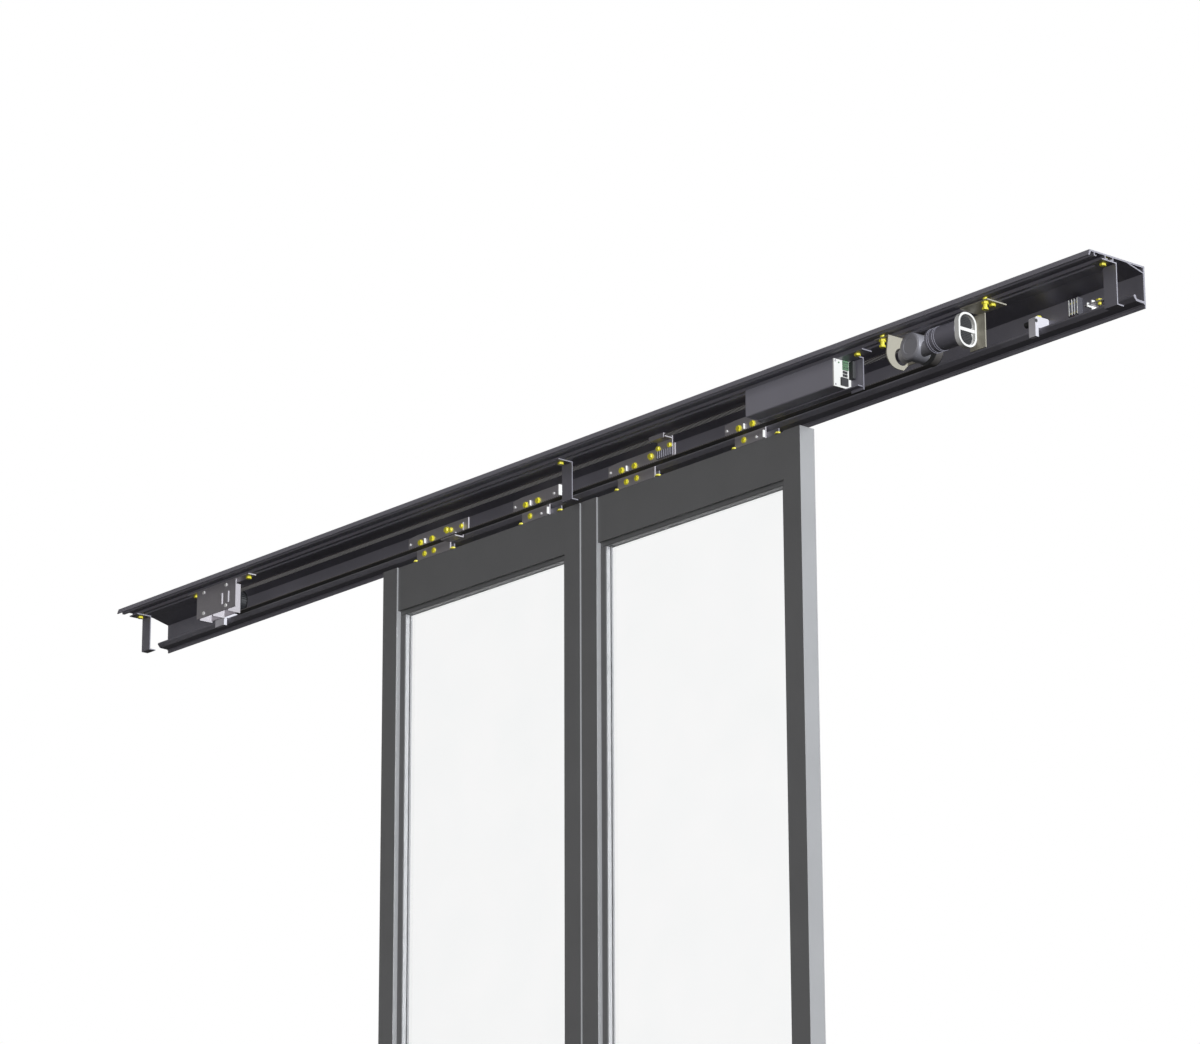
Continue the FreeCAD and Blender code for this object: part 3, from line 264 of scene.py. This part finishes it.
# Polyamide of plug-in terminals: a dull mid green.
green_nylon = surface("green_terminal_nylon", "#4c7a52", "#436e49", 0.0, 0.4, 1.2, EVEN, 0.1)
# Circuit board under a dark green solder mask.
board_green = surface("dark_green_solder_mask", "#23392b", "#1d3124", 0.0, 0.35, 3.0, EVEN, 0.05)
# Glass-filled nylon of sockets, keys and pulleys: black with a dry sheen. The same black also serves as
# painted shade in the wire holes, the stop's spring hole and behind the motor's grille slats.
black_nylon = surface("black_filled_nylon", "#26272a", "#1e1f22", 0.0, 0.48, 1.0, EVEN, 0.2)
# Smoked polycarbonate over the mains terminals: dark and glossy.
smoked = surface("smoked_polycarbonate", "#4a4950", "#424148", 0.0, 0.25, 6.0, EVEN, 0.02)
# Polyamide sleeve on a wire end: red.
red_nylon = surface("red_sleeve_nylon", "#a03030", "#902828", 0.0, 0.42, 1.2, EVEN, 0.1)
# Cast nylon of rollers and guides: white and waxy.
white_nylon = surface("white_cast_nylon", "#e8e6de", "#dedbd2", 0.0, 0.4, 2.0, EVEN, 0.08)
# Toughened float glass: clear, with the faintest cool cast.
glass = surface("clear_float_glass", "#fdfdfd", "#fafbfb", 0.0, 0.02, 400.0, EVEN, 0.0, 0.01,
                Transmission_Weight=1.0, IOR=1.5, Specular_IOR_Level=0.2)

FINISHES = {
    "anodised_dark": anodised_header, "zinc_steel": zinc, "yellow_zinc": yellow, "die_cast": cast,
    "motor_grey": enamel, "light_casting": powder, "belt_rubber": belt_rubber, "seal_rubber": seal_rubber,
    "housing_grey": grey_abs, "panel_white": white_abs, "terminal_green": green_nylon,
    "black_plastic": black_nylon, "nylon_white": white_nylon, "clear_glass": glass,
    "black_steel": black_nylon,
}

# Finishes by a word in the node's name, and nodes with a finish of their own.
LEAF_FINISHES = {"stile": anodised_stile, "_rail": anodised_rail, "beads": anodised_bead}
SPECIAL = {
    "drive_bracket": cream, "cover_brackets": anodised_header, "control_bracket": enamel,
    "terminal_block": smoked, "idler_pulley": black_nylon, "drive_pulley": black_nylon,
    "control_board": board_green, "end_stops": pale_cast,
    "left_leaf_hanger_angles": anodised_header, "right_leaf_hanger_angles": anodised_header,
}


def dress_nodes():
    """Give every carried-over node its finish."""
    for part in frame["record"]["subparts"]:
        node = frame["nodes"][part["node"]]
        material = FINISHES[part["material_slot"]]
        for word, finish in LEAF_FINISHES.items():
            if word in part["node"]:
                material = finish
        material = SPECIAL.get(part["node"], material)
        node.data.materials.clear()
        node.data.materials.append(material)


def settle(piece, material, body):
    """Give a finished piece its material and the body that it rides on, with its place in its mesh."""
    bpy.ops.object.select_all(action="DESELECT")
    piece.select_set(True)
    bpy.context.view_layer.objects.active = piece
    bpy.ops.object.transform_apply(location=True, rotation=True, scale=True)
    piece.data.materials.clear()
    piece.data.materials.append(material)
    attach(piece, body)


def name_piece(name):
    """Name the active piece and its mesh."""
    piece = bpy.context.object
    piece.name = name
    piece.data.name = name
    return piece


def ease(piece, width):
    """Round the edges of a piece; the width is in millimetres."""
    bpy.context.view_layer.objects.active = piece
    rounding = piece.modifiers.new("rounding", "BEVEL")
    rounding.width = width * MM
    rounding.segments = 2
    rounding.limit_method = "ANGLE"
    bpy.ops.object.modifier_apply(modifier=rounding.name)


def block(name, low, high, bevel):
    """A box from its lowest to its highest corner in metres, its edges eased by a bevel in millimetres."""
    bpy.ops.object.select_all(action="DESELECT")
    middle = [(a + b) / 2 for a, b in zip(low, high)]
    bpy.ops.mesh.primitive_cube_add(size=1, location=middle)
    piece = name_piece(name)
    piece.scale = [b - a for a, b in zip(low, high)]
    bpy.ops.object.transform_apply(location=True, rotation=True, scale=True)
    if bevel:
        ease(piece, bevel)
    return piece


def drum(name, way, centre, radius, length, sides, bevel):
    """A cylinder in millimetres, centred at a place in metres, running out from the wall, up or along."""
    bpy.ops.object.select_all(action="DESELECT")
    bpy.ops.mesh.primitive_cylinder_add(vertices=sides, radius=radius * MM, depth=length * MM,
                                        location=centre, rotation=WAYS[way])
    piece = name_piece(name)
    bpy.ops.object.transform_apply(location=True, rotation=True, scale=True)
    ease(piece, bevel)
    for face in piece.data.polygons:
        face.use_smooth = len(face.vertices) == 4 and sides > 6
    return piece


def joined(name, pieces):
    """Several bits as one piece."""
    bpy.ops.object.select_all(action="DESELECT")
    for piece in pieces:
        piece.select_set(True)
    bpy.context.view_layer.objects.active = pieces[0]
    if len(pieces) > 1:
        bpy.ops.object.join()
    return name_piece(name)


def belt_loop(left, right, middle_out, centre_z, radius, width):
    """The smooth back of the belt: a half circle at each end and two straight runs."""
    bpy.ops.object.select_all(action="DESELECT")
    bpy.ops.mesh.primitive_circle_add(vertices=LOOP_SIDES, radius=radius,
                                      location=(left, middle_out, centre_z), rotation=WAYS["out"])
    loop = name_piece("belt_back")
    bpy.ops.object.transform_apply(location=True, rotation=True, scale=True)
    for vertex in loop.data.vertices:
        if vertex.co.x > left + HAIR:
            vertex.co.x += right - left
    bpy.ops.object.mode_set(mode="EDIT")
    bpy.ops.mesh.select_all(action="SELECT")
    bpy.ops.transform.translate(value=(0, -width / 2, 0))
    bpy.ops.mesh.extrude_region_move(TRANSFORM_OT_translate={"value": (0, width, 0)})
    bpy.ops.mesh.select_all(action="SELECT")
    bpy.ops.mesh.normals_make_consistent(inside=False)
    bpy.ops.object.mode_set(mode="OBJECT")
    wall = loop.modifiers.new("wall", "SOLIDIFY")
    wall.thickness = BELT_BACK * MM
    wall.offset = -1
    bpy.ops.object.modifier_apply(modifier=wall.name)
    return loop


def toothed_belt():
    """The belt with its teeth inside the loop, one pitch apart."""
    pitch = BELT_PITCH * MM
    width = BELT[1][1] - BELT[0][1]
    middle_out = (BELT[1][1] + BELT[0][1]) / 2
    radius = (BELT[1][2] - BELT[0][2]) / 2
    centre_z = (BELT[1][2] + BELT[0][2]) / 2
    left = BELT[0][0] + radius
    right = BELT[1][0] - radius
    pieces = [belt_loop(left, right, middle_out, centre_z, radius, width)]
    for label, sign in (("upper", 1), ("lower", -1)):
        root = centre_z + (radius - BELT_BACK * MM) * sign
        tip = root - TOOTH_DEPTH * MM * sign
        tooth = block(f"{label}_teeth", (left, middle_out - width / 2, min(tip, root)),
                      (left + pitch / 2, middle_out + width / 2, max(tip, root)), 0)
        row = tooth.modifiers.new("row", "ARRAY")
        row.count = int((right - left) / pitch)
        row.use_relative_offset = False
        row.use_constant_offset = True
        row.constant_offset_displace = (pitch, 0, 0)
        bpy.context.view_layer.objects.active = tooth
        bpy.ops.object.modifier_apply(modifier=row.name)
        pieces.append(tooth)
    belt = joined("toothed_belt_visible", pieces)
    settle(belt, belt_rubber, "header")
    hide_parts("toothed_belt")


def beyond(way, x, out, z, distance):
    """The place a distance away from another one, all in millimetres."""
    step = STEPS[way]
    return spot(x + step[0] * distance, out + step[1] * distance, z + step[2] * distance)


def bolt_head(name, way, x, out, z, flats=13, height=5.3):
    """A hexagon head on its washer, standing on a place in millimetres."""
    washer = drum(name + "_washer", way, beyond(way, x, out, z, WASHER_THICK / 2), flats * WASHER_SHARE,
                  WASHER_THICK, 28, 0.3)
    head = drum(name + "_hex", way, beyond(way, x, out, z, WASHER_THICK + height / 2), flats * HEXAGON_SHARE,
                height, 6, 0.5)
    return joined(name, [washer, head])


def pan_head(name, way, x, out, z, radius=3.5, height=2.6):
    """A domed screw head, standing on a place in millimetres."""
    return drum(name, way, beyond(way, x, out, z, height / 2), radius, height, 24, height * DOME_SHARE)


def plate_washer(name, x, z, radius):
    """A thick washer on a carriage plate."""
    return drum(name, "out", spot(x, PLATE_FACE + PLATE_WASHER / 2, z), radius, PLATE_WASHER, 36, 0.5)


def plate_tab(name, left, right, low, high, reach, bevel):
    """A small block standing out from a carriage plate."""
    return block(name, spot(left, PLATE_FACE + reach, low), spot(right, PLATE_FACE, high), bevel)


def carriage_details():
    """Washers, bolt heads, screws, lugs, end blocks and tabs on the four carriages."""
    leaf_top = measure(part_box("left_leaf_top_rail")).high
    for body in ("left_leaf", "right_leaf"):
        first = measure(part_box(f"{body}_carriage_plates")).left
        for number, start in enumerate((first, first + CARRIAGE_PITCH), start=1):
            label = f"{body}_carriage_{number}"
            washers = [plate_washer(f"{label}_washer_{at}", start + at, AXLE_Z, 9) for at in AXLES]
            washers += [plate_washer(f"{label}_tongue_washer_{at}", start + at, TONGUE_BOLT_Z, 8)
                        for at in TONGUE_BOLTS[number]]
            settle(joined(f"{label}_washers", washers), yellow, body)
            leaf_bolts = [bolt_head(f"{label}_leaf_bolt_{at}", "up", start + at,
                                    PLATE_FACE + LEAF_BOLT_REACH, leaf_top, flats, 3.6)
                          for at, flats in LEAF_BOLTS]
            settle(joined(f"{label}_leaf_bolts", leaf_bolts), yellow, body)
            count = 1 if number == 1 else 3
            small = [pan_head(f"{label}_{kind}", "out", start + at, PLATE_FACE, z)
                     for kind, at, z in PLATE_SCREWS[:count]]
            small += [plate_tab(f"{label}_{kind}", start + left, start + right, *sizes)
                      for kind, left, right, *sizes in PLATE_TABS[:count]]
            if number == 1:
                third, third_z = THIRD_BOLT
                bolts = [bolt_head(f"{label}_third_bolt", "out", start + third, PLATE_FACE, third_z)]
                places, run_z = CLAMP_BOLTS[body]
                bolts += [bolt_head(f"{label}_clamp_bolt_{at}", "out", start + at, PLATE_FACE + CLAMP_THICK,
                                    run_z, 10, 4) for at in places]
                settle(joined(f"{label}_clamp_bolts", bolts), yellow, body)
            settle(joined(f"{label}_small_parts", small), powder, body)


def belt_clamp_teeth():
    """The toothed jaw plate of the right leaf's clamp, a zinc jaw given the dark anodised finish as painted
    shade.
    """
    start = measure(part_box("right_leaf_belt_clamp")).left
    jaw = block("jaw", spot(start - 3, PLATE_FACE + 5.5, 33), spot(start + 58, PLATE_FACE + 3.2, 54), 0.5)
    teeth = []
    for index in range(7):
        left = start - 1 + index * BELT_PITCH
        teeth.append(block(f"jaw_tooth_{index}", spot(left, PLATE_FACE + 7.4, 34),
                           spot(left + BELT_PITCH / 2, PLATE_FACE + 5.4, 53), 0.3))
    # The dark anodised finish on this zinc jaw is painted shade.
    settle(joined("right_leaf_clamp_jaw", [jaw] + teeth), anodised_header, "right_leaf")


def idler_details():
    """Domed heads on the idler bracket's four rivets."""
    rivets = measure(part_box("idler_rivets"))
    face = measure(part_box("idler_bracket")).front
    heads = [pan_head(f"rivet_{x:.0f}_{z:.0f}", "out", x, face, z, *RIVET_HEAD)
             for x in (rivets.left + RIVET_RADIUS, rivets.right - RIVET_RADIUS)
             for z in (rivets.low + RIVET_RADIUS, rivets.high - RIVET_RADIUS)]
    settle(joined("idler_rivet_heads", heads), powder, "header")


def stop_details():
    """A black disc on the right-hand stop's pale face: painted shade standing in for the inside of its
    spring hole.
    """
    face = measure(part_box("end_stops")).right
    # Black disc as painted shade in the spring hole.
    hole = drum("stop_hole_painted_shade", "along", spot(face + 0.3, 47, 42), 4.5, 0.8, 32, 0.2)
    settle(hole, black_nylon, "header")


def motor_details():
    """Cooling ribs of the motor and the black grilles in its end frame: black slats over a black disc, the
    disc painted shade in the grille openings.
    """
    can = measure(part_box("motor_housing"))
    axis_out = (can.back + can.front) / 2
    axis_z = (can.low + can.high) / 2
    radius = (can.high - can.low) / 2
    ribs = [drum(f"motor_rib_{index}", "along", spot(can.left + at, axis_out, axis_z), radius + RIB_RISE,
                 2.4, 96, 0.5) for index, at in enumerate(MOTOR_RIBS)]
    settle(joined("motor_ribs", ribs), enamel, "header")
    bell = measure(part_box("motor_end_bell"))
    recess = bell.left + 4
    middle_out = (bell.back + bell.front) / 2
    grilles = []
    # Each grille: a black disc as painted shade in the opening, with black slats across it.
    for label, middle_z in (("upper", axis_z + GRILLE_RISE), ("lower", axis_z - GRILLE_RISE)):
        grilles.append(drum(f"{label}_grille", "along", spot(recess + 1.3, middle_out, middle_z),
                            GRILLE_RADIUS, 2.4, 64, 0.3))
        for index in range(SLATS):
            rise = (index - SLATS // 2) * SLAT_PITCH
            half = math.sqrt(SLAT_RADIUS ** 2 - rise ** 2)
            z = middle_z + rise
            grilles.append(block(f"{label}_slat_{index}", spot(recess + 2.5, middle_out + half, z - 1),
                                 spot(recess + 4, middle_out - half, z + 1), 0.4))
    settle(joined("motor_grilles", grilles), black_nylon, "header")


def control_details():
    """Screws, relay and lamp at the controller's end panel, and black discs on the connectors as painted
    shade in their wire holes.
    """
    panel = measure(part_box("control_end_panel"))
    face = panel.right
    screws = [pan_head(f"panel_screw_{index}", "along", face, panel.front - 5, z, 2.6, 1.8)
              for index, z in enumerate((panel.low + 5, panel.high - 5))]
    settle(joined("control_panel_screws", screws), zinc, "header")
    arm = measure(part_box("control_bracket")).back + 3
    relay = block("control_relay", spot(face + 5, arm + 9, panel.low + 22),
                  spot(face + 20, arm, panel.high - 3), 0.8)
    settle(relay, black_nylon, "header")
    sockets = measure(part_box("green_connectors"))
    # Black discs on the connectors' face: painted shade in the wire holes.
    holes = []
    for row in range(2):
        for index in range(3):
            place = spot(sockets.right + 0.2, sockets.back + 3.2 + index * HOLE_PITCH,
                         sockets.low + 5.5 + row * SOCKET_PITCH)
            holes.append(drum(f"wire_hole_shade_{row}_{index}", "along", place, 1.7, 0.6, 20, 0.1))
    settle(joined("connector_hole_shades", holes), black_nylon, "header")
    lamp = drum("control_lamp", "along", spot(face + 0.8, panel.front - 16, panel.high - 8), 2.2, 1.6,
                24, 0.4)
    settle(lamp, green_nylon, "header")


def terminal_details():
    """Clamping screws and ribs of the terminal block, and three wire sleeves beneath it."""
    terminal = measure(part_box("terminal_block"))
    start = terminal.left
    front = terminal.front
    low = terminal.low
    places = [start + TERMINAL_FIRST + index * TERMINAL_PITCH for index in range(3)]
    screws = [pan_head(f"terminal_screw_{index}", "out", x, front - 5, low + 8 + lift, 2.4, 2)
              for index, x in enumerate(places) for lift in (0, 24)]
    settle(joined("terminal_screws", screws), yellow, "header")
    ribs = [block(f"terminal_rib_{index}", spot(start + at, front + 1, low + 2),
                  spot(start + at + 1, front - 1, low + 40), 0.2) for index, at in enumerate(TERMINAL_RIBS)]
    settle(joined("terminal_ribs", ribs), white_abs, "header")
    sleeves = ((red_nylon, "black_plastic"), (white_abs, "panel_white"), (green_nylon, "terminal_green"))
    for number, (x, (nylon, slot)) in enumerate(zip(places, sleeves), start=1):
        sleeve = drum(f"wire_sleeve_{number}", "up", spot(x, front - 8, low - 5), 2.2, 10, 20, 0.4)
        settle(sleeve, nylon, "header")


def earth_details():
    """The upright cross on the earth bracket."""
    shelf = measure(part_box("earth_bracket"))
    left = shelf.left + 10
    wall = shelf.back
    tier = shelf.high
    right = left + 3
    mast = block("earth_upright", spot(left, wall + 27, tier - 26), spot(right, wall + 16, tier + 13), 0.4)
    arm = block("earth_arm", spot(left, wall + 42, tier - 7), spot(right, wall + 1, tier + 3), 0.4)
    settle(joined("earth_cross", [mast, arm]), powder, "header")


def studio_floor():
    """A plain pale floor that is clear from below."""
    bpy.ops.object.select_all(action="DESELECT")
    bpy.ops.mesh.primitive_plane_add(size=FLOOR_SIZE, location=(0, 0, FLOOR))
    floor = name_piece("floor")
    paper = bpy.data.materials.new("studio_floor")
    paper.use_nodes = True
    tree = paper.node_tree
    shader = tree.nodes["Principled BSDF"]
    shader.inputs["Base Color"].default_value = linear("#f4f4f4")
    shader.inputs["Roughness"].default_value = 0.9
    clear = add(tree, "ShaderNodeBsdfTransparent")
    side = add(tree, "ShaderNodeNewGeometry")
    mix = add(tree, "ShaderNodeMixShader", None, {0: side.outputs["Backfacing"], 1: shader.outputs["BSDF"],
                                                  2: clear.outputs["BSDF"]})
    tree.links.new(mix.outputs["Shader"], tree.nodes["Material Output"].inputs["Surface"])
    floor.data.materials.append(paper)
    floor.visible_diffuse = False
    floor.visible_glossy = False


def studio_world():
    """A world seen as white, also through the glass, that lights the surfaces only faintly."""
    world = bpy.data.worlds.new("studio")
    bpy.context.scene.world = world
    world.use_nodes = True
    tree = world.node_tree
    light = tree.nodes["Background"]
    light.inputs["Color"].default_value = WHITE
    light.inputs["Strength"].default_value = AMBIENT
    white = add(tree, "ShaderNodeBackground", {"Color": WHITE, "Strength": 1.0})
    path = add(tree, "ShaderNodeLightPath")
    seen = add(tree, "ShaderNodeMath", {"operation": "MAXIMUM"},
               {0: path.outputs["Is Camera Ray"], 1: path.outputs["Is Transmission Ray"]})
    mix = add(tree, "ShaderNodeMixShader", None, {0: seen.outputs["Value"], 1: light.outputs["Background"],
                                                  2: white.outputs["Background"]})
    tree.links.new(mix.outputs["Shader"], tree.nodes["World Output"].inputs["Surface"])


def studio_lamps():
    """Soft suns from the sides, the front and above."""
    for name, direction, strength, angle, colour, shadow in LAMPS:
        data = bpy.data.lights.new(name, "SUN")
        data.energy = strength
        data.color = colour
        data.angle = math.radians(angle)
        data.use_shadow = shadow
        lamp = bpy.data.objects.new(name, data)
        lamp.rotation_euler = Vector(direction).to_track_quat("Z", "Y").to_euler()
        bpy.context.scene.collection.objects.link(lamp)


look()
bpy.context.scene.view_settings.view_transform = "Standard"
studio_floor()
studio_world()
studio_lamps()
dress_nodes()
toothed_belt()
carriage_details()
belt_clamp_teeth()
idler_details()
stop_details()
motor_details()
control_details()
terminal_details()
earth_details()
